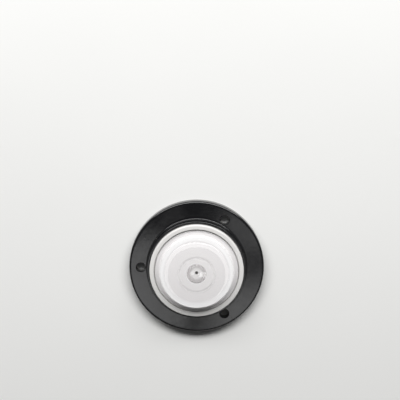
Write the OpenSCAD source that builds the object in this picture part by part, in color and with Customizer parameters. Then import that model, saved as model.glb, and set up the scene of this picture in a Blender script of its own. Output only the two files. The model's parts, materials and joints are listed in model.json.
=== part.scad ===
// Round surface level: a sealed bubble vial in a flanged holder that is screwed to a machine or a frame.
// Sizes are in mm. The base stands on z = 0 and the vial's axis is the Z axis.

/* [Holder] */
// Thickness of the flange
flange_t = 3.2; // [2.4:0.1:5]
// Width of flange left outside the screw holes
flange_lip = 2.2; // [1.4:0.1:6]
// Rounding of the flange's top edge
flange_edge_r = 0.6; // [0.2:0.1:1]
// Thickness of the holder's floor
floor_t = 1.6; // [1.2:0.1:2.4]
// Depth of the recess under the floor, which leaves the outer ring to stand on
recess_depth = 0.4; // [0.2:0.1:0.6]
// Width of floor between the recess and the collar's bore
recess_margin = 2; // [1:0.1:4]
// Wall of the collar round the vial
collar_wall = 0.8; // [0.6:0.1:2]
// Height of the collar above the flange
collar_rise = 3.4; // [1.5:0.1:6]
// Fillet between the collar and the flange
collar_fillet = 0.4; // [0.1:0.1:0.8]
// Rounding of the collar's top edges
collar_edge_r = 0.2; // [0.1:0.05:0.25]

/* [Screw holes] */
// Diameter of each screw hole
screw_hole_d = 3.2; // [2.4:0.1:5]
// Number of screw holes
screw_count = 3; // [3:1:6]
// Direction of the first screw hole, in degrees from +X
screw_start = 60; // [0:5:90]
// Width of flange left between the collar and a screw hole
screw_gap = 0.5; // [0.3:0.1:2]

/* [Cup] */
// Outer diameter of the white cup
cup_d = 30.4; // [26:0.2:40]
// Clearance between the cup and the collar
cup_fit = 0.1; // [0.05:0.05:0.2]
// Wall of the cup, which shows as its white rim
cup_wall = 1.5; // [1.2:0.1:2.5]
// Thickness of the cup's floor
cup_floor_t = 2; // [1.6:0.1:2.4]
// Height of the cup's rim above the collar
rim_rise = 1.4; // [0.8:0.1:3]
// Depth of the lens's seat below the rim
seat_drop = 0.7; // [0.4:0.1:1.2]
// Rounding of the rim's edges
rim_edge_r = 0.25; // [0.1:0.05:0.4]
// Depth of the glue groove below the seat
groove_depth = 0.2; // [0.2:0.1:1.2]
// Height of the plinth, whose top is the white floor, above the seat
plinth_rise = 1.5; // [1:0.1:1.8]
// Clearance between the plinth and the lens's skirt
plinth_fit = 0.05; // [0.02:0.01:0.15]
// Rounding of the plinth's edge
plinth_edge_r = 0.2; // [0.1:0.05:0.4]

/* [Lens] */
// Gap between the lens's brim and the cup's rim
brim_gap = 0.3; // [0.2:0.05:0.8]
// Width of the lens's brim
brim_w = 1.5; // [0.8:0.1:2]
// Thickness of the lens's brim
brim_t = 0.6; // [0.4:0.1:1]
// Rounding of the brim's top edge
brim_edge_r = 0.15; // [0.05:0.05:0.25]
// Height of the lens's top above the rim
lens_rise = 4.7; // [4.4:0.1:7]
// Wall of the lens's skirt
lens_wall = 0.9; // [0.7:0.1:1.2]
// Thickness of the lens's top
lens_t = 1.9; // [1.6:0.1:2.2]
// Rounding of the lens's shoulder
shoulder_r = 3; // [2.4:0.1:3.2]
// Rounding of the corner inside the lens
inner_corner_r = 0.8; // [0.6:0.1:1.2]
// Radius of the dome under the lens, which sets how far the bubble runs for each degree
dome_r = 120; // [80:5:200]
// Diameter of the target ring moulded in the lens's top
target_d = 11.2; // [8:0.2:15]
// Width of the target ring's groove
target_w = 0.7; // [0.3:0.1:1]
// Depth of the target ring's groove
target_depth = 0.18; // [0.05:0.01:0.3]

/* [Liquid and bubble] */
// Diameter of the bubble
bubble_d = 6.3; // [4:0.1:9]
// Thickness of the bubble
bubble_t = 1.4; // [1:0.1:1.6]
// Gap between the bubble and the dome
bubble_gap = 0.1; // [0.05:0.01:0.2]
// Gap between the liquid and what holds it
liquid_gap = 0.05; // [0.02:0.01:0.1]

/* [Fill plug] */
// Diameter of the plug's stem, which shows as the centre dot
plug_d = 1; // [0.6:0.1:2]
// Clearance of the stem in its hole
plug_fit = 0.02; // [0.01:0.01:0.1]
// Diameter of the plug's head under the floor
plug_head_d = 3; // [2.4:0.1:5]
// Thickness of the plug's head
plug_head_t = 1; // [0.6:0.1:1.5]

/* [Hidden] */
$fn = 128;

// How far a cutting shape runs past the face that it cuts
past = 1;

// How far shapes that make up one outline run into each other
lap = 0.1;

// Radii, from the cup outwards
cup_r = cup_d / 2;
bore_r = cup_r + cup_fit;
collar_r = bore_r + collar_wall;
screw_circle_r = collar_r + screw_gap + screw_hole_d / 2;
flange_r = screw_circle_r + screw_hole_d / 2 + flange_lip;
recess_r = bore_r - recess_margin;

// Radii, from the cup inwards
rim_r = cup_r - cup_wall;
brim_r = rim_r - brim_gap;
lens_r = brim_r - brim_w;
skirt_r = lens_r - lens_wall;
plinth_r = skirt_r - plinth_fit;
core_r = plinth_r - cup_floor_t;
target_r = target_d / 2;

// Heights
collar_top = flange_t + collar_rise;
rim_top = collar_top + rim_rise;
seat = rim_top - seat_drop;
seat_bottom = seat - cup_floor_t;
brim_top = seat + brim_t;
white_floor = seat + plinth_rise;
white_bottom = white_floor - cup_floor_t;
lens_top = rim_top + lens_rise;
dome_top = lens_top - lens_t;
bubble_top = dome_top - bubble_gap;

// The dome's centre, which the lens's top, the liquid's top and the bubble's travel all share
dome_z = dome_top - dome_r;

// The bubble's rounded edge, and its mid height
bubble_edge_r = bubble_t / 2;
bubble_mid = bubble_top - bubble_edge_r;
bubble_flat_r = bubble_d / 2 - bubble_edge_r;

// The target groove is an arc of this radius, centred on the lens's top surface or above it
target_arc_r = (target_w * target_w / 4 + target_depth * target_depth) / (2 * target_depth);
target_z = dome_z + sqrt(pow(dome_r + lens_t, 2) - target_r * target_r) - target_depth + target_arc_r;

// How far the bubble tilts about the dome's centre before its edge comes into the lens's inner corner
bubble_tilt = asin((skirt_r - inner_corner_r - bubble_flat_r) / (dome_r - bubble_gap - bubble_edge_r));
echo(flange_d = 2 * flange_r, screw_circle_d = 2 * screw_circle_r, height = lens_top);
echo(dome_z = dome_z, bubble_tilt = bubble_tilt);

// What a rounding takes off an outer corner at [r, z]; out_r and out_z are 1 or -1 and point out of the piece
module round_off(r, z, radius, out_r, out_z) {
    translate([r - out_r * radius, z - out_z * radius])
        difference() {
            translate([out_r > 0 ? 0 : -2 * radius, out_z > 0 ? 0 : -2 * radius])
                square(2 * radius);
            circle(r = radius);
        }
}

// Half outline from height z up to a dome, with a shoulder that runs smoothly into it
module domed_outline(r, shoulder, dome, z) {
    middle = [r - shoulder, dome_z + sqrt(pow(dome - shoulder, 2) - pow(r - shoulder, 2))];
    out = (middle - [0, dome_z]) / (dome - shoulder);
    tip = middle + 2 * shoulder * out;
    translate([0, z])
        square([r, middle[1] - z]);
    translate(middle)
        intersection() {
            circle(r = shoulder);
            translate([-lap, -lap])
                square(shoulder + lap);
        }
    intersection() {
        translate([0, dome_z])
            circle(r = dome, $fn = 256);
        polygon([[0, middle[1] - lap], middle - [0, lap], middle, tip, [0, tip[1]]]);
    }
}

// Half outline of the bubble, grown by a gap
module bubble_outline(grow) {
    translate([0, bubble_mid - bubble_edge_r - grow])
        square([bubble_flat_r, bubble_t + 2 * grow]);
    translate([bubble_flat_r, bubble_mid])
        circle(r = bubble_edge_r + grow);
}

module flange_outline() {
    fillet = min(collar_fillet, screw_gap);
    difference() {
        union() {
            square([flange_r, flange_t]);
            square([collar_r, collar_top]);
            translate([collar_r, flange_t])
                difference() {
                    square(fillet);
                    translate([fillet, fillet])
                        circle(r = fillet);
                }
        }
        translate([0, floor_t])
            square([bore_r, collar_top]);
        translate([0, -past])
            square([recess_r, recess_depth + past]);
        round_off(flange_r, flange_t, flange_edge_r, 1, 1);
        round_off(collar_r, collar_top, collar_edge_r, 1, 1);
        round_off(bore_r, collar_top, collar_edge_r, -1, 1);
    }
}

module flange_body() {
    color("#1b1b1d")
        difference() {
            rotate_extrude()
                flange_outline();
            for (i = [0 : screw_count - 1])
                rotate([0, 0, screw_start + i * 360 / screw_count])
                    translate([screw_circle_r, 0, -past])
                        cylinder(d = screw_hole_d, h = flange_t + 2 * past);
        }
}

module cup_outline() {
    difference() {
        translate([0, floor_t])
            square([cup_r, rim_top - floor_t]);
        translate([0, seat])
            square([rim_r, seat_drop + past]);
        translate([brim_r, seat - groove_depth])
            square([brim_gap, groove_depth + past]);
        translate([0, floor_t - past])
            square([rim_r, seat_bottom - floor_t + past]);
        translate([0, floor_t - past])
            square([core_r, white_bottom - floor_t + past]);
        round_off(cup_r, rim_top, rim_edge_r, 1, 1);
        round_off(rim_r, rim_top, rim_edge_r, -1, 1);
    }
    difference() {
        translate([0, seat_bottom])
            square([plinth_r, white_floor - seat_bottom]);
        translate([0, seat_bottom - past])
            square([core_r, white_bottom - seat_bottom + past]);
        round_off(plinth_r, white_floor, plinth_edge_r, 1, 1);
    }
}

module vial_cup() {
    color("#f3f3ef")
        difference() {
            rotate_extrude()
                cup_outline();
            translate([0, 0, white_bottom - past])
                cylinder(d = plug_d + 2 * plug_fit, h = cup_floor_t + 2 * past);
        }
}

module lens_outline() {
    difference() {
        union() {
            domed_outline(lens_r, shoulder_r, dome_r + lens_t, seat);
            difference() {
                translate([0, seat])
                    square([brim_r, brim_t]);
                round_off(brim_r, brim_top, brim_edge_r, 1, 1);
            }
        }
        domed_outline(skirt_r, inner_corner_r, dome_r, seat - past);
        translate([target_r, target_z])
            circle(r = target_arc_r);
    }
}

module vial_lens() {
    color("#cfe6ea", 0.4)
        rotate_extrude()
            lens_outline();
}

module liquid_outline() {
    difference() {
        domed_outline(skirt_r - liquid_gap, inner_corner_r - liquid_gap, dome_r - liquid_gap,
            white_floor + liquid_gap);
        bubble_outline(liquid_gap);
        translate([0, bubble_mid])
            square([bubble_flat_r, bubble_t + past]);
    }
}

module vial_liquid() {
    color("#e4f0dc", 0.4)
        rotate_extrude()
            liquid_outline();
}

module air_bubble() {
    color("#ffffff", 0.6)
        rotate_extrude()
            bubble_outline(0);
}

module fill_plug() {
    color("#141414") {
        translate([0, 0, white_bottom])
            cylinder(d = plug_d, h = cup_floor_t);
        translate([0, 0, white_bottom - plug_head_t])
            cylinder(d = plug_head_d, h = plug_head_t);
    }
}

flange_body();
vial_cup();
vial_lens();
vial_liquid();
air_bubble();
fill_plug();
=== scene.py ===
"""A round surface level: a sealed bubble vial in a black flanged holder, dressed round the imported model."""
import json
import math

import bmesh
import bpy
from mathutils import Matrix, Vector


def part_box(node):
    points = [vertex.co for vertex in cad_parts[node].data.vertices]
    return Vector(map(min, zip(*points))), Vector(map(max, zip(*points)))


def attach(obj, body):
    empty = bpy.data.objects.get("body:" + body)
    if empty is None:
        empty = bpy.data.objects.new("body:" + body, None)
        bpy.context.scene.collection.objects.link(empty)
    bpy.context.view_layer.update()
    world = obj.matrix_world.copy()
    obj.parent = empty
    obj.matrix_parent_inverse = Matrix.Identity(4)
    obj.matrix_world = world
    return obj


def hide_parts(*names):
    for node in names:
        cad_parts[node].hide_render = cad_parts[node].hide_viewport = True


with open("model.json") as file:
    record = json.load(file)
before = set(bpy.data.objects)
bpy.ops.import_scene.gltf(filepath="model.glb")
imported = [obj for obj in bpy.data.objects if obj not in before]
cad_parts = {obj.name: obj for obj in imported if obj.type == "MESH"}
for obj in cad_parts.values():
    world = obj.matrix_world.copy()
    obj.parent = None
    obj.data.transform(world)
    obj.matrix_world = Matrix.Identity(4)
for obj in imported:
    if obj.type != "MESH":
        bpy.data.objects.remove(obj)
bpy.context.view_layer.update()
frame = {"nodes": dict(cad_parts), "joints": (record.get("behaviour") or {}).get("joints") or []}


# Holder: the round flange and the thin collar that carry the vial, one piece of black ABS out of an
# injection mould with polished faces. It stands on a flat ring under its edge and is screwed down through
# three plain holes close to the collar.
MM = 0.001
holder_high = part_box("flange_body")[1] / MM
flange_r = holder_high.x
flange_t = 3.2
flange_edge_r = 0.6
flange_foot_r = 0.2
collar_top = holder_high.z
collar_r = 16.1
collar_fillet = 0.4
collar_edge_r = 0.2
bore_r = 15.3
bore_floor = 1.6
bore_corner_r = 0.3
recess_r = 13.3
recess_depth = 0.4
recess_corner_r = 0.15
screw_hole_r = 1.6
screw_hole_edge_r = 0.05
screw_circle_r = 18.2
screw_angles = [math.radians(angle) for angle in (60, 180, 300)]
# Flat width beside a rounding, which keeps the shading of the flat face flat
flat_w = 0.3
flat_by_fillet = 0.01
# Faces round a full turn of a piece, and round a screw hole. A turn is made as a sector and its copies.
turn_steps = 288
hole_steps = 72
turn_sectors = 12
# Fewest faces along a rounding or a dome, and how many each mm of its radius or its reach asks for
fewest_steps = 4
rounding_steps_per_mm = 6
dome_steps_per_mm = 3
# Points closer than this are one point
weld = 0.001
# Faces that meet at more than this angle keep a crisp corner
crisp_angle = math.radians(32)
# The centre of the lens's dome, on which the bubble swings
dome_z = next(joint["pos_m"][2] for joint in frame["joints"] if joint["name"] == "bubble_drift") / MM


def round_corner(bm, point, radius):
    """Rounds one corner of an outline to a radius in mm."""
    along = [edge.other_vert(point).co - point.co for edge in point.link_edges]
    reach = radius / math.tan(along[0].angle(along[1]) / 2)
    segments = fewest_steps + round(rounding_steps_per_mm * radius)
    bmesh.ops.bevel(bm, geom=[point], offset=reach, offset_type="OFFSET", affect="VERTICES",
                    segments=segments, profile=0.5, material=-1)


def turn(bm, corners, closed=False, steps=turn_steps, centre=(0, 0), material=0):
    """Turns an outline about an upright axis. Each corner has a radius, a height and a rounding in mm.
    A corner with no height lies further along the dome that the corner before it is on."""
    old = {*bm.verts, *bm.edges, *bm.faces}
    points = []
    for radius, height, rounding in corners:
        if height is None:
            start = points[-1][0]
            reach = math.hypot(start.co.x, start.co.z - dome_z)
            angle = math.asin(radius / reach) - math.asin(start.co.x / reach)
            arc_steps = max(fewest_steps, round(dome_steps_per_mm * abs(radius - start.co.x)))
            arc = bmesh.ops.spin(bm, geom=[start], axis=(0, 1, 0), cent=(0, 0, dome_z),
                                 steps=arc_steps, angle=angle)
            point = arc["geom_last"][0]
        else:
            point = bm.verts.new((centre[0] + radius, centre[1], height))
            if points:
                bm.edges.new((points[-1][0], point))
        points.append((point, rounding))
    if closed:
        bm.edges.new((points[-1][0], points[0][0]))
    for point, rounding in points:
        if rounding:
            round_corner(bm, point, rounding)
    outline = [part for part in (*bm.verts, *bm.edges) if part not in old]
    sector = 2 * math.pi / turn_sectors
    bmesh.ops.spin(bm, geom=outline, axis=(0, 0, 1), cent=(*centre, 0), steps=steps // turn_sectors,
                   angle=sector)
    wedge = [part for part in (*bm.verts, *bm.edges, *bm.faces) if part not in old]
    for part in wedge:
        if isinstance(part, bmesh.types.BMFace):
            part.material_index = material
    bmesh.ops.spin(bm, geom=wedge, axis=(0, 0, 1), cent=(*centre, 0), steps=turn_sectors - 1,
                   angle=2 * math.pi - sector, use_duplicate=True)
    bmesh.ops.remove_doubles(bm, verts=bm.verts, dist=weld)


def make_piece(name, bm, *materials):
    """Makes an object of a mesh that was drawn in mm, with smooth rounded faces and crisp corners."""
    bmesh.ops.recalc_face_normals(bm, faces=bm.faces)
    bmesh.ops.scale(bm, vec=(MM, MM, MM), verts=bm.verts)
    mesh = bpy.data.meshes.new(name)
    bm.to_mesh(mesh)
    bm.free()
    mesh.shade_smooth()
    mesh.set_sharp_from_angle(angle=crisp_angle)
    for material in materials:
        mesh.materials.append(material)
    piece = bpy.data.objects.new(name, mesh)
    bpy.context.scene.collection.objects.link(piece)
    return piece


def colour(code):
    """An sRGB hex colour as the linear values that a socket takes."""
    parts = [int(code[i:i + 2], 16) / 255 for i in (1, 3, 5)]
    return [*(part / 12.92 if part <= 0.04045 else ((part + 0.055) / 1.055) ** 2.4 for part in parts), 1]


def per_mm(size):
    """The scale of a pattern whose marks are this many mm wide."""
    return 1 / (size * MM)


def add_node(tree, kind, inputs, **settings):
    """Adds a node with its settings, and fills or links its inputs."""
    made = tree.nodes.new("ShaderNode" + kind)
    for name, value in settings.items():
        setattr(made, name, value)
    for name, value in inputs.items():
        if isinstance(value, bpy.types.NodeSocket):
            tree.links.new(value, made.inputs[name])
        else:
            made.inputs[name].default_value = value
    return made


def new_material(name):
    """An empty material and its node tree."""
    material = bpy.data.materials.new(name)
    material.use_nodes = True
    material.node_tree.nodes.clear()
    return material, material.node_tree


# Black ABS from a polished mould: deep black with a soft gloss, faint smears from handling, the slight
# ripple of moulded plastic, and a few specks of dust. The specks are drawn about twice as wide as real dust.
abs_ior = 1.54
clean_gloss = 0.07
smeared_gloss = 0.14
smear_w = 7
ripple_w = 1.2
ripple_depth = 0.02
speck_gap = 1.3
# The radius of a speck and of its solid middle, as shares of the gap between specks
speck_r = 0.13
speck_middle_r = 0.06
# The share of places that stay free of specks, and how much of the black a speck hides
speck_free = 0.86
speck_cover = 0.3
# Most of a noise pattern lies between these values
noise_low = 0.3
noise_high = 0.7
black_abs, tree = new_material("black_abs_moulded")
place = add_node(tree, "TexCoord", {}).outputs["Object"]
smear = add_node(tree, "TexNoise", {"Vector": place, "Scale": per_mm(smear_w), "Detail": 4, "Roughness": 0.6})
ripple = add_node(tree, "TexNoise", {"Vector": place, "Scale": per_mm(ripple_w), "Detail": 1})
specks = add_node(tree, "TexVoronoi", {"Vector": place, "Scale": per_mm(speck_gap)})
speck_size = add_node(tree, "MapRange", {"Value": specks.outputs["Distance"], "From Min": speck_r,
                                         "From Max": speck_middle_r})
speck_pick = add_node(tree, "SeparateXYZ", {"Vector": specks.outputs["Color"]})
speck_few = add_node(tree, "Math", {0: speck_pick.outputs["X"], 1: speck_free}, operation="GREATER_THAN")
dust = add_node(tree, "Math", {0: speck_size.outputs["Result"], 1: speck_few.outputs["Value"]},
                operation="MULTIPLY")
dust_faint = add_node(tree, "Math", {0: dust.outputs["Value"], 1: speck_cover}, operation="MULTIPLY")
black = add_node(tree, "Mix", {0: smear.outputs["Fac"], 6: colour("#111113"), 7: colour("#1b1b1c")},
                 data_type="RGBA")
dusty_black = add_node(tree, "Mix", {0: dust_faint.outputs["Value"], 6: black.outputs[2],
                                     7: colour("#8f8a80")}, data_type="RGBA")
gloss = add_node(tree, "MapRange", {"Value": smear.outputs["Fac"], "From Min": noise_low,
                                    "From Max": noise_high, "To Min": clean_gloss, "To Max": smeared_gloss})
dusty_gloss = add_node(tree, "Math", {0: dust_faint.outputs["Value"], 1: gloss.outputs["Result"]},
                       operation="ADD")
moulded = add_node(tree, "Bump", {"Height": ripple.outputs["Fac"], "Strength": 0.25,
                                  "Distance": ripple_depth * MM})
surface = add_node(tree, "BsdfPrincipled", {"Base Color": dusty_black.outputs[2], "IOR": abs_ior,
                                            "Roughness": dusty_gloss.outputs["Value"],
                                            "Normal": moulded.outputs["Normal"]})
add_node(tree, "OutputMaterial", {"Surface": surface.outputs["BSDF"]})

shape = bmesh.new()
turn(shape, [
    (0, bore_floor, 0),
    (bore_r, bore_floor, bore_corner_r),
    (bore_r, collar_top, collar_edge_r),
    (collar_r, collar_top, collar_edge_r),
    (collar_r, flange_t, collar_fillet),
    (collar_r + collar_fillet + flat_by_fillet, flange_t, 0),
])
turn(shape, [
    (flange_r - flange_edge_r - flat_w, flange_t, 0),
    (flange_r, flange_t, flange_edge_r),
    (flange_r, 0, flange_foot_r),
    (flange_r - flange_foot_r - flat_w, 0, 0),
])
turn(shape, [
    (recess_r + recess_corner_r + flat_w, 0, 0),
    (recess_r, 0, recess_corner_r),
    (recess_r, recess_depth, recess_corner_r),
    (0, recess_depth, 0),
])
for angle in screw_angles:
    turn(shape, [
        (screw_hole_r + screw_hole_edge_r + flat_by_fillet, flange_t, 0),
        (screw_hole_r, flange_t, screw_hole_edge_r),
        (screw_hole_r, 0, screw_hole_edge_r),
        (screw_hole_r + screw_hole_edge_r + flat_by_fillet, 0, 0),
    ], steps=hole_steps, centre=(screw_circle_r * math.cos(angle), screw_circle_r * math.sin(angle)))
# The flat faces above and below, between the rounded edges and the screw holes
for height in (flange_t, 0):
    open_edges = [edge for edge in shape.edges if edge.is_boundary
                  and all(abs(end.co.z - height) < weld for end in edge.verts)]
    bmesh.ops.triangle_fill(shape, use_beauty=True, edges=open_edges)
holder = make_piece("flanged_holder", shape, black_abs)
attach(holder, "holder")
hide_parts("flange_body")


# Cup: the white moulding pressed into the collar. Its wall shows as the white rim, and inside it stands
# a low round plinth whose top is the white ground under the bubble. The lens is cemented on the flat seat
# between them, beside a narrow groove that takes up spare cement.
cup_low, cup_high = (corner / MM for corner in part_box("vial_cup"))
lens_low, lens_high = (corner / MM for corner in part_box("vial_lens"))
cup_r = cup_high.x
rim_top = 8
rim_r = 13.7
rim_edge_r = 0.25
seat = lens_low.z
seat_t = 2
groove_depth = 0.2
brim_r = lens_high.x
plinth_r = 10.95
plinth_edge_r = 0.2
white_floor = cup_high.z
white_floor_t = 2
core_r = 8.95
plug_hole_r = 0.52

# White polystyrene, moulded: a satin white with a very fine grain. The open rim has taken on a little grey
# dust from handling. The sealed plinth has kept its clean white, and a whiter ring along its edge is painted
# light, in place of the brightness that the lens's shoulder gathers there.
# Under the lens the plastic is wetted and has hardly any gloss.
# The painted light along the plinth's edge begins at the first distance from the axis and is whole at the
# second
painted_light_start = 9.4
painted_light_full = 10.2
# One white turns into the next within this far of an edge
blend_w = 0.1
styrene_ior = 1.59
liquid_ior = 1.40
smooth_satin = 0.45
rough_satin = 0.6
mottle_w = 3
grain_w = 0.3
grain_depth = 0.01
white_styrene, tree = new_material("white_polystyrene_moulded")
place = add_node(tree, "TexCoord", {}).outputs["Object"]
flat_place = add_node(tree, "VectorMath", {0: place, 1: (1, 1, 0)}, operation="MULTIPLY")
from_axis = add_node(tree, "VectorMath", {0: flat_place.outputs["Vector"]}, operation="LENGTH")
mottle = add_node(tree, "TexNoise", {"Vector": place, "Scale": per_mm(mottle_w), "Detail": 5,
                                     "Roughness": 0.6})
grain = add_node(tree, "TexNoise", {"Vector": place, "Scale": per_mm(grain_w), "Detail": 2})
outside = add_node(tree, "MapRange", {"Value": from_axis.outputs["Value"],
                                      "From Min": (brim_r - blend_w) * MM,
                                      "From Max": (brim_r + blend_w) * MM})
clean = add_node(tree, "Mix", {0: mottle.outputs["Fac"], 6: colour("#efecec"), 7: colour("#e9e7e7")},
                 data_type="RGBA")
handled = add_node(tree, "Mix", {0: mottle.outputs["Fac"], 6: colour("#e8e7e5"), 7: colour("#dfddda")},
                   data_type="RGBA")
# Painted light: a whiter ring along the plinth's edge, in place of the brightness the lens's shoulder gathers
painted_light_ramp = add_node(tree, "MapRange", {"Value": from_axis.outputs["Value"], "From Min": painted_light_start * MM,
                                        "From Max": painted_light_full * MM}, interpolation_type="SMOOTHSTEP")
on_plinth = add_node(tree, "MapRange", {"Value": from_axis.outputs["Value"],
                                        "From Min": (plinth_r + blend_w) * MM,
                                        "From Max": (plinth_r - blend_w) * MM})
painted_light_ring = add_node(tree, "Math", {0: painted_light_ramp.outputs["Result"], 1: on_plinth.outputs["Result"]},
                   operation="MULTIPLY")
plinth_with_painted_light = add_node(tree, "Mix", {0: painted_light_ring.outputs["Value"], 6: clean.outputs[2], 7: colour("#faf9f9")},
                    data_type="RGBA")
white = add_node(tree, "Mix", {0: outside.outputs["Result"], 6: plinth_with_painted_light.outputs[2], 7: handled.outputs[2]},
                 data_type="RGBA")
satin = add_node(tree, "MapRange", {"Value": mottle.outputs["Fac"], "From Min": noise_low,
                                    "From Max": noise_high, "To Min": smooth_satin, "To Max": rough_satin})
fine = add_node(tree, "Bump", {"Height": grain.outputs["Fac"], "Strength": 0.2, "Distance": grain_depth * MM})
wetted_ior = add_node(tree, "MapRange", {"Value": outside.outputs["Result"],
                                         "To Min": styrene_ior / liquid_ior, "To Max": styrene_ior})
surface = add_node(tree, "BsdfPrincipled", {"Base Color": white.outputs[2],
                                            "IOR": wetted_ior.outputs["Result"],
                                            "Roughness": satin.outputs["Result"],
                                            "Normal": fine.outputs["Normal"]})
add_node(tree, "OutputMaterial", {"Surface": surface.outputs["BSDF"]})

shape = bmesh.new()
turn(shape, [
    (plug_hole_r, white_floor, 0),
    (plinth_r, white_floor, plinth_edge_r),
    (plinth_r, seat, 0),
    (brim_r, seat, 0),
    (brim_r, seat - groove_depth, 0),
    (rim_r, seat - groove_depth, 0),
    (rim_r, rim_top, rim_edge_r),
    (cup_r, rim_top, rim_edge_r),
    (cup_r, cup_low.z, rim_edge_r),
    (rim_r, cup_low.z, rim_edge_r),
    (rim_r, seat - seat_t, rim_edge_r),
    (core_r, seat - seat_t, rim_edge_r),
    (core_r, white_floor - white_floor_t, rim_edge_r),
    (plug_hole_r, white_floor - white_floor_t, 0),
], closed=True)
cup = make_piece("white_cup", shape, white_styrene)
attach(cup, "holder")
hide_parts("vial_cup")


# Lens: the clear cap of the vial, a thick acrylic moulding with a gently domed top, a broad rounded
# shoulder and a thin brim that is cemented on the cup's seat. The target ring is a shallow groove in its top.
def on_dome(top, radius):
    """Height, at a distance from the axis, of the dome whose top is at a height in mm."""
    return dome_z + math.sqrt((top - dome_z) ** 2 - radius ** 2)


lens_top = lens_high.z
lens_t = 1.9
lens_r = 11.9
lens_corner_z = on_dome(lens_top, lens_r)
shoulder_start = 8.9
shoulder_r = 3
skirt_r = 11
inner_top = lens_top - lens_t
inner_corner_z = on_dome(inner_top, skirt_r)
inner_corner_r = 0.8
brim_top = 7.9
brim_edge_r = 0.15
brim_fillet = 0.2
target_r = 5.6
target_w = 0.7
target_depth = 0.18
target_fillet = 0.25
target_in = target_r - target_w / 2
target_out = target_r + target_w / 2
# The cement joins the lens to the seat and to the plinth with no air between them
cement = 0.02
skirt_in = plinth_r - cement
inner_dome_r = skirt_in - inner_corner_r - flat_w


def let_lamps_through(tree, surface, share):
    """Ends a clear material, which bends what is seen through it and lets a share of the lamps' light
    straight on."""
    path = add_node(tree, "LightPath", {})
    lamp_ray = add_node(tree, "Math", {0: path.outputs["Is Shadow Ray"], 1: path.outputs["Is Diffuse Ray"]},
                        operation="MAXIMUM")
    straight = add_node(tree, "BsdfTransparent", {"Color": share})
    clear = add_node(tree, "MixShader", {0: lamp_ray.outputs["Value"], 1: surface.outputs["BSDF"],
                                         2: straight.outputs["BSDF"]})
    add_node(tree, "OutputMaterial", {"Surface": clear.outputs["Shader"]})


# Clear acrylic, moulded and polished: colourless, with the faintest haze from handling, and a grey ring of
# painted shade along the target ring's groove. It lights what is sealed under it, and what stands behind it
# lies in its shade.
acrylic_ior = 1.49
haze_w = 5
most_haze = 0.03
# The painted shade lies within this far of the ring's middle, and is thickest within the second distance
painted_ring_shade_w = 0.8
painted_ring_shade_full_w = 0.2
# The share of the lamps' light that is left behind the lens
shade = 0.05
clear_acrylic, tree = new_material("clear_acrylic_moulded")
place = add_node(tree, "TexCoord", {}).outputs["Object"]
haze = add_node(tree, "TexNoise", {"Vector": place, "Scale": per_mm(haze_w), "Detail": 4})
polish = add_node(tree, "MapRange", {"Value": haze.outputs["Fac"], "From Min": 0.45, "From Max": 0.75,
                                     "To Min": 0.0, "To Max": most_haze})
flat_place = add_node(tree, "VectorMath", {0: place, 1: (1, 1, 0)}, operation="MULTIPLY")
from_axis = add_node(tree, "VectorMath", {0: flat_place.outputs["Vector"]}, operation="LENGTH")
past_ring = add_node(tree, "Math", {0: from_axis.outputs["Value"], 1: target_r * MM}, operation="SUBTRACT")
off_ring = add_node(tree, "Math", {0: past_ring.outputs["Value"]}, operation="ABSOLUTE")
painted_ring_shade_mask = add_node(tree, "MapRange", {"Value": off_ring.outputs["Value"], "From Min": painted_ring_shade_w * MM,
                                      "From Max": painted_ring_shade_full_w * MM}, interpolation_type="SMOOTHSTEP")
# The grey of the target ring is painted shade, in place of the darkening that the groove's slopes show
clear = add_node(tree, "Mix", {0: painted_ring_shade_mask.outputs["Result"], 6: colour("#fefefe"), 7: colour("#d8d7d7")},
                 data_type="RGBA")
surface = add_node(tree, "BsdfPrincipled", {"Base Color": clear.outputs[2], "IOR": acrylic_ior,
                                            "Roughness": polish.outputs["Result"],
                                            "Transmission Weight": 1.0})
side = add_node(tree, "NewGeometry", {})
from_inside = add_node(tree, "MapRange", {"Value": side.outputs["Backfacing"], "To Min": shade,
                                          "To Max": 1.0})
let_lamps_through(tree, surface, from_inside.outputs["Result"])

# Clear acrylic wetted by the liquid: the two bend light almost alike, so the face hardly shows
film_w = 4
wet_acrylic, tree = new_material("clear_acrylic_wetted")
place = add_node(tree, "TexCoord", {}).outputs["Object"]
film = add_node(tree, "TexNoise", {"Vector": place, "Scale": per_mm(film_w), "Detail": 2})
tint = add_node(tree, "Mix", {0: film.outputs["Fac"], 6: colour("#ffffff"), 7: colour("#fefefe")},
                data_type="RGBA")
surface = add_node(tree, "BsdfGlass", {"Color": tint.outputs[2], "IOR": acrylic_ior / liquid_ior,
                                       "Roughness": 0.0})
let_lamps_through(tree, surface, colour("#ffffff"))

shape = bmesh.new()
turn(shape, [
    (0, lens_top, 0),
    (target_in, None, 0),
    (target_r, on_dome(lens_top, target_r) - target_depth, target_fillet),
    (target_out, on_dome(lens_top, target_out), 0),
    (shoulder_start, None, 0),
    (lens_r, lens_corner_z, shoulder_r),
    (lens_r, brim_top, brim_fillet),
    (brim_r, brim_top, brim_edge_r),
    (brim_r, seat - cement, 0),
    (skirt_in, seat - cement, 0),
])
turn(shape, [
    (skirt_in, seat - cement, 0),
    (skirt_in, inner_corner_z, inner_corner_r),
    (inner_dome_r, on_dome(inner_top, inner_dome_r), 0),
    (0, None, 0),
], material=1)
lens = make_piece("clear_lens", shape, clear_acrylic, wet_acrylic)
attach(lens, "holder")
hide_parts("vial_lens")


# Liquid: the light spirit that fills the vial from the white floor to the dome. It keeps the shape that
# the model gives it, with a pocket for the bubble.
liquid = frame["nodes"]["vial_liquid"]

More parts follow.
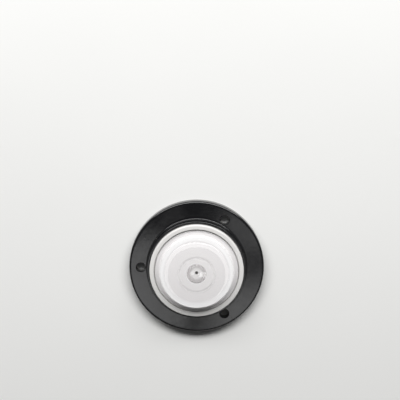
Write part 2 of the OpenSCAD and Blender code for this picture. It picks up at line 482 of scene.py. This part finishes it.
# Clear spirit: the lens's wetted faces bend the light, so the liquid itself only tints it very slightly
spirit_cloud_w = 5
clear_spirit, tree = new_material("clear_spirit")
place = add_node(tree, "TexCoord", {}).outputs["Object"]
cloud = add_node(tree, "TexNoise", {"Vector": place, "Scale": per_mm(spirit_cloud_w), "Detail": 1})
tint = add_node(tree, "Mix", {0: cloud.outputs["Fac"], 6: colour("#ffffff"), 7: colour("#fefefe")},
                data_type="RGBA")
surface = add_node(tree, "BsdfTransparent", {"Color": tint.outputs[2]})
add_node(tree, "OutputMaterial", {"Surface": surface.outputs["BSDF"]})
liquid.data.materials.clear()
liquid.data.materials.append(clear_spirit)


# Bubble: the flattened bubble of air that floats under the dome and comes to rest inside the target ring.
# It is no moulded part: the liquid draws it into a round edge.
bubble_low, bubble_high = (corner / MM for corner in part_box("air_bubble"))
bubble_r = bubble_high.x
# The edge is a hair under half the bubble's thickness, so that a little of its side is left upright
hair = 0.005
bubble_edge_r = (bubble_high.z - bubble_low.z) / 2 - hair

# Air in the spirit: light bends the other way at its edge and is lost there, which shows as a soft grey ring
ring_start = 1.4
ring_full = 2.5
air, tree = new_material("air_in_spirit")
place = add_node(tree, "TexCoord", {}).outputs["Object"]
flat_place = add_node(tree, "VectorMath", {0: place, 1: (1, 1, 0)}, operation="MULTIPLY")
from_axis = add_node(tree, "VectorMath", {0: flat_place.outputs["Vector"]}, operation="LENGTH")
at_edge = add_node(tree, "MapRange", {"Value": from_axis.outputs["Value"], "From Min": ring_start * MM,
                                      "From Max": ring_full * MM}, interpolation_type="SMOOTHSTEP")
tint = add_node(tree, "Mix", {0: at_edge.outputs["Result"], 6: colour("#ffffff"), 7: colour("#e9e8e8")},
                data_type="RGBA")
surface = add_node(tree, "BsdfGlass", {"Color": tint.outputs[2], "IOR": 1 / liquid_ior, "Roughness": 0.0})
let_lamps_through(tree, surface, colour("#ffffff"))

shape = bmesh.new()
turn(shape, [
    (0, bubble_high.z, 0),
    (bubble_r, bubble_high.z, bubble_edge_r),
    (bubble_r, bubble_low.z, bubble_edge_r),
    (0, bubble_low.z, 0),
])
bubble = make_piece("floating_bubble", shape, air)
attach(bubble, "bubble")
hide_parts("air_bubble")


# Fill plug: the small dark rubber plug that closes the filling hole in the middle of the white floor.
# Its stem shows as the centre dot, and its head holds it from below.
plug_low, plug_high = (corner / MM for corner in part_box("fill_plug"))
plug_head_r = plug_high.x
plug_head_top = white_floor - white_floor_t
plug_head_edge_r = 0.25
plug_stem_r = 0.5
plug_stem_edge_r = 0.05

# Black rubber, cut from moulded cord: matt, with a fine crumb
rubber_ior = 1.52
crumb_w = 0.15
crumb_depth = 0.02
black_rubber, tree = new_material("black_rubber")
place = add_node(tree, "TexCoord", {}).outputs["Object"]
crumb = add_node(tree, "TexNoise", {"Vector": place, "Scale": per_mm(crumb_w), "Detail": 3})
dark = add_node(tree, "Mix", {0: crumb.outputs["Fac"], 6: colour("#403e3d"), 7: colour("#4e4c4a")},
                data_type="RGBA")
matt = add_node(tree, "MapRange", {"Value": crumb.outputs["Fac"], "To Min": 0.6, "To Max": 0.85})
rough = add_node(tree, "Bump", {"Height": crumb.outputs["Fac"], "Strength": 0.4,
                                "Distance": crumb_depth * MM})
surface = add_node(tree, "BsdfPrincipled", {"Base Color": dark.outputs[2], "IOR": rubber_ior,
                                            "Roughness": matt.outputs["Result"],
                                            "Normal": rough.outputs["Normal"]})
add_node(tree, "OutputMaterial", {"Surface": surface.outputs["BSDF"]})

shape = bmesh.new()
turn(shape, [
    (0, plug_high.z, 0),
    (plug_stem_r, plug_high.z, plug_stem_edge_r),
    (plug_stem_r, plug_head_top, 0),
    (plug_head_r, plug_head_top, plug_head_edge_r),
    (plug_head_r, plug_low.z, plug_head_edge_r),
    (0, plug_low.z, 0),
], steps=hole_steps)
plug = make_piece("fill_plug_rubber", shape, black_rubber)
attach(plug, "holder")
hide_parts("fill_plug")


# Floor: a wide pale board that the level stands on. It isn't part of the level.
floor_size = 4000
board_cloud_w = 60
pale_board, tree = new_material("pale_painted_board")
place = add_node(tree, "TexCoord", {}).outputs["Object"]
cloud = add_node(tree, "TexNoise", {"Vector": place, "Scale": per_mm(board_cloud_w), "Detail": 3})
pale = add_node(tree, "Mix", {0: cloud.outputs["Fac"], 6: colour("#efefed"), 7: colour("#ebebe9")},
                data_type="RGBA")
surface = add_node(tree, "BsdfPrincipled", {"Base Color": pale.outputs[2], "Roughness": 0.8})
add_node(tree, "OutputMaterial", {"Surface": surface.outputs["BSDF"]})
shape = bmesh.new()
bmesh.ops.create_grid(shape, x_segments=1, y_segments=1, size=floor_size / 2)
floor = make_piece("pale_floor", shape, pale_board)


# Light: one wide soft panel above the level's far side, and a sky that is pale on that side and dark on the
# near side. Other panels face straight down and show in one piece only: small ones grey parts of the flange,
# wide ones on three sides whiten the lens's shoulder, and a tiny one glints near the lens's middle.
def add_panel(name, place_mm, aim_mm, width, depth, watts):
    """A soft rectangular lamp with its sizes in mm."""
    lamp = bpy.data.lights.new(name, "AREA")
    lamp.shape = "RECTANGLE"
    lamp.size = width * MM
    lamp.size_y = depth * MM
    lamp.energy = watts
    panel = bpy.data.objects.new(name, lamp)
    bpy.context.scene.collection.objects.link(panel)
    panel.location = Vector(place_mm) * MM
    panel.rotation_euler = (Vector(aim_mm) - Vector(place_mm)).to_track_quat("-Z", "Y").to_euler()
    panel.visible_camera = False
    return panel


def add_mirrored_panel(name, piece, place_mm, width, depth, brightness):
    """A panel that faces down and lights one piece only. A brightness of 1 is white."""
    watts = math.pi * brightness * width * depth * MM ** 2
    panel = add_panel(name, place_mm, (*place_mm[:2], 0), width, depth, watts)
    lit = bpy.data.collections.new(name + "_lights")
    lit.objects.link(piece)
    panel.light_linking.receiver_collection = lit


# The lens would show the lamp as a hard white patch over the bubble, so dimmer panels take its place there
soft_panel = add_panel("soft_panel", place_mm=(0, 483, 443), aim_mm=(0, 0, 8), width=1100, depth=260,
                       watts=7.8)
spared = bpy.data.collections.new("soft_panel_spares")
spared.objects.link(lens)
spared.collection_objects[0].light_linking.link_state = "EXCLUDE"
soft_panel.light_linking.receiver_collection = spared
# Each panel's name, the piece it shows in, its place, width and depth in mm, and its brightness
mirrored_panels = [
    ("flange_left", holder, (-60, -185, 600), 100, 90, 1.95),
    ("flange_right", holder, (57, -220, 600), 98, 84, 2),
    ("flange_far_right", holder, (55, -132, 600), 70, 40, 1.1),
    ("lens_far", lens, (0, 190, 500), 1430, 420, 3),
    ("lens_farthest", lens, (0, 590, 500), 1430, 380, 5),
    ("lens_left", lens, (-422, -185, 500), 584, 330, 2.7),
    ("lens_right", lens, (422, -185, 500), 584, 330, 2.7),
    ("lens_middle", lens, (24, -169, 612), 24, 24, 4.5),
]
for panel_values in mirrored_panels:
    add_mirrored_panel(*panel_values)

sky_bright = 0.14
sky_dark = 0.03
# The sky turns from dark to bright between these parts of a direction that points to the far side
dark_until = -0.1
bright_from = 0.4
# The backdrop is whole up to the first height of a direction and gone at the second
backdrop_whole = 0.1
backdrop_end = 0.25
world = bpy.data.worlds.new("studio")
bpy.context.scene.world = world
world.use_nodes = True
tree = world.node_tree
tree.nodes.clear()
direction = add_node(tree, "SeparateXYZ", {"Vector": add_node(tree, "TexCoord", {}).outputs["Generated"]})
far_side = add_node(tree, "MapRange", {"Value": direction.outputs["Y"], "From Min": dark_until,
                                       "From Max": bright_from, "To Min": sky_dark, "To Max": sky_bright},
                    interpolation_type="SMOOTHSTEP")
studio = add_node(tree, "Background", {"Color": colour("#ffffff"), "Strength": far_side.outputs["Result"]})
# A pale backdrop behind the floor, which the camera sees, and which gloss and glass show down to the horizon
backdrop = add_node(tree, "Background", {"Color": colour("#efefed"), "Strength": 1.0})
low = add_node(tree, "MapRange", {"Value": direction.outputs["Z"], "From Min": backdrop_end,
                                  "From Max": backdrop_whole}, interpolation_type="SMOOTHSTEP")
path = add_node(tree, "LightPath", {})
mirrored = add_node(tree, "Math", {0: path.outputs["Is Glossy Ray"], 1: path.outputs["Is Transmission Ray"]},
                    operation="MAXIMUM")
mirrored_low = add_node(tree, "Math", {0: mirrored.outputs["Value"], 1: low.outputs["Result"]},
                        operation="MULTIPLY")
pale = add_node(tree, "Math", {0: path.outputs["Is Camera Ray"], 1: mirrored_low.outputs["Value"]},
                operation="MAXIMUM")
seen = add_node(tree, "MixShader", {0: pale.outputs["Value"], 1: studio.outputs["Background"],
                                    2: backdrop.outputs["Background"]})
add_node(tree, "OutputWorld", {"Surface": seen.outputs["Shader"]})


# Camera: above the level and towards the light, so that the level lies below the middle of the picture
camera_aim = Vector((1.1, 21.8, 0)) * MM
camera_distance = 361 * MM
camera_tilt = math.radians(12.05)
lens_of_camera = bpy.data.cameras.new("camera")
lens_of_camera.lens = 100
lens_of_camera.sensor_width = 36
camera = bpy.data.objects.new("camera", lens_of_camera)
bpy.context.scene.collection.objects.link(camera)
camera.location = camera_aim + camera_distance * Vector((0, math.sin(camera_tilt), math.cos(camera_tilt)))
camera.rotation_euler = (-camera_tilt, 0, 0)
bpy.context.scene.camera = camera
bpy.context.scene.view_settings.view_transform = "Standard"

# Light crosses the lens and the liquid many times before it leaves the vial
bounces = 32
bpy.context.scene.cycles.max_bounces = bounces
bpy.context.scene.cycles.transmission_bounces = bounces
bpy.context.scene.cycles.glossy_bounces = bounces
bpy.context.scene.cycles.diffuse_bounces = 12
bpy.context.scene.cycles.transparent_max_bounces = 64
